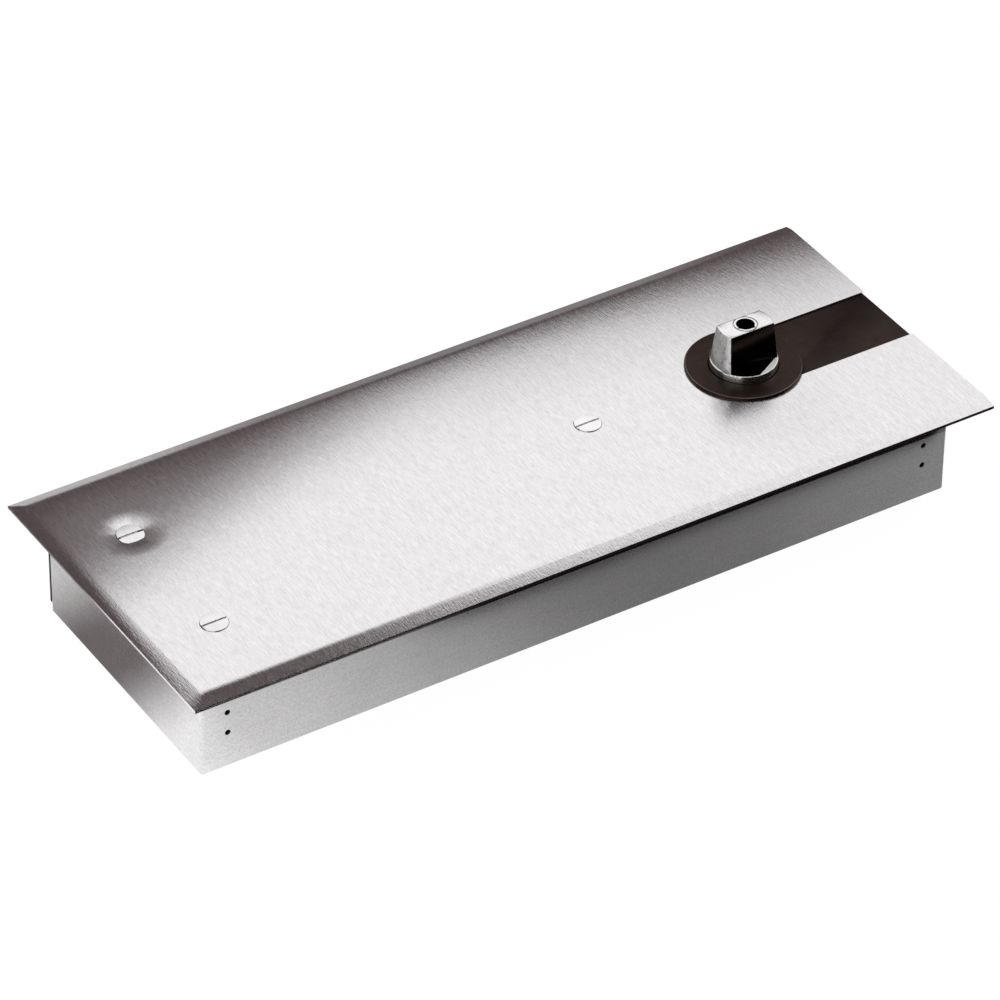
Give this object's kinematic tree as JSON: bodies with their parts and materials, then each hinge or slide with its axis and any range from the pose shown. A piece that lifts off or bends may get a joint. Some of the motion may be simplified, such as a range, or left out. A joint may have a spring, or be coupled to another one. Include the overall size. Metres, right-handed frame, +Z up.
{
  "type": "floor spring door closer",
  "caption": "Floor spring door closer: a heart-cam hydraulic closer in a sheet-steel cement box, under a brushed cover plate with a dark rosette and a tapered flat-sided spindle.",
  "frame": {"origin": "on the spindle axis, at the level of the cover plate's top face, which is the finished floor", "axes": "+Z up along the spindle, +X along the box toward the spindle end, +Y across the box"},
  "size_m": [0.326, 0.13, 0.0593],
  "materials": {
    "cover_steel": "satin, brushed across the width",
    "dark_trim": "dark brown satin",
    "box_sheet": "zinc-coated sheet",
    "zinc_fixings": "zinc plated",
    "screw_steel": "turned, satin",
    "cast_body": "cast, satin",
    "hard_steel": "ground",
    "spring_steel": "oiled",
    "brass_parts": "turned",
    "seal_rubber": "matt"
  },
  "bodies": {
    "closer": {"cement_box": "box_sheet", "bracket_near_end": "box_sheet", "bracket_far_end": "box_sheet", "bracket_rivets": "zinc_fixings", "bracket_nuts": "zinc_fixings", "cover_plate": "cover_steel", "slot_strip": "dark_trim", "spindle_rosette": "dark_trim", "cover_screws": "screw_steel", "closer_housing": "cast_body", "body_fixing_screws": "zinc_fixings", "body_fixing_washers": "zinc_fixings", "bearing_cover": "cast_body", "bearing_cover_screws": "zinc_fixings", "cover_gasket": "seal_rubber", "shaft_seal": "seal_rubber", "upper_bearing_shell": "hard_steel", "lower_bearing_shell": "hard_steel", "thrust_washer": "brass_parts", "rod_bush": "brass_parts", "spring_seat_fixed": "hard_steel", "closing_spring_outer": "spring_steel", "closing_spring_inner": "spring_steel", "end_plug": "hard_steel", "plug_o_ring": "seal_rubber", "plug_circlip": "hard_steel", "oil_filler_plug": "brass_parts"},
    "spindle_body": {"spindle": "hard_steel", "heart_cam": "hard_steel", "cam_key": "hard_steel"},
    "carriage_body": {"carriage_plate_upper": "hard_steel", "carriage_plate_lower": "hard_steel", "carriage_end_block": "hard_steel", "carriage_rivets": "hard_steel", "roller_pins": "hard_steel", "pull_rod": "hard_steel", "rod_nut": "zinc_fixings", "piston": "hard_steel", "piston_seal": "seal_rubber", "check_ball": "hard_steel", "spring_seat_moving": "hard_steel"},
    "near_roller_body": {"roller_near": "hard_steel"},
    "far_roller_body": {"roller_far": "hard_steel"},
    "upper_cage_body": {"upper_needle_cage": "hard_steel"},
    "lower_cage_body": {"lower_needle_cage": "hard_steel"},
    "closing_valve_body": {"closing_valve": "brass_parts", "closing_valve_ring": "seal_rubber"},
    "latching_valve_body": {"latching_valve": "brass_parts", "latching_valve_ring": "seal_rubber"}
  },
  "joints": [
    {"name": "spindle_turn", "type": "hinge", "parent": "closer", "child": "spindle_body", "pos_m": [0, 0, 0], "axis": [0, 0, 1], "range_deg": [0, 130], "stiffness_Nm_per_rad": 0.01, "springref_deg": -114.59},
    {"name": "carriage_slide", "type": "slide", "parent": "closer", "child": "carriage_body", "axis": [1, 0, 0], "range_m": [0, 0.0105], "deforming": ["closing_spring_outer", "closing_spring_inner"]},
    {"name": "near_roller_turn", "type": "hinge", "parent": "carriage_body", "child": "near_roller_body", "pos_m": [0.0205, 0, 0], "axis": [0, 0, 1], "continuous": true},
    {"name": "far_roller_turn", "type": "hinge", "parent": "carriage_body", "child": "far_roller_body", "pos_m": [-0.0349, 0, 0], "axis": [0, 0, 1], "continuous": true},
    {"name": "upper_cage_turn", "type": "hinge", "parent": "closer", "child": "upper_cage_body", "pos_m": [0, 0, 0], "axis": [0, 0, 1], "range_deg": [0, 60]},
    {"name": "lower_cage_turn", "type": "hinge", "parent": "closer", "child": "lower_cage_body", "pos_m": [0, 0, 0], "axis": [0, 0, 1], "range_deg": [0, 58]},
    {"name": "closing_valve_turn", "type": "hinge", "parent": "closer", "child": "closing_valve_body", "pos_m": [-0.219, -0.0205, 0], "axis": [0, 0, 1], "range_deg": [-180, 180]},
    {"name": "latching_valve_turn", "type": "hinge", "parent": "closer", "child": "latching_valve_body", "pos_m": [-0.219, 0.0205, 0], "axis": [0, 0, 1], "range_deg": [-180, 180]}
  ],
  "couplings": [
    {"joint": "carriage_slide", "follows": "spindle_turn", "m_per_rad": 0.0045837},
    {"joint": "upper_cage_turn", "follows": "spindle_turn", "ratio": 0.4614},
    {"joint": "lower_cage_turn", "follows": "spindle_turn", "ratio": 0.4425}
  ]
}
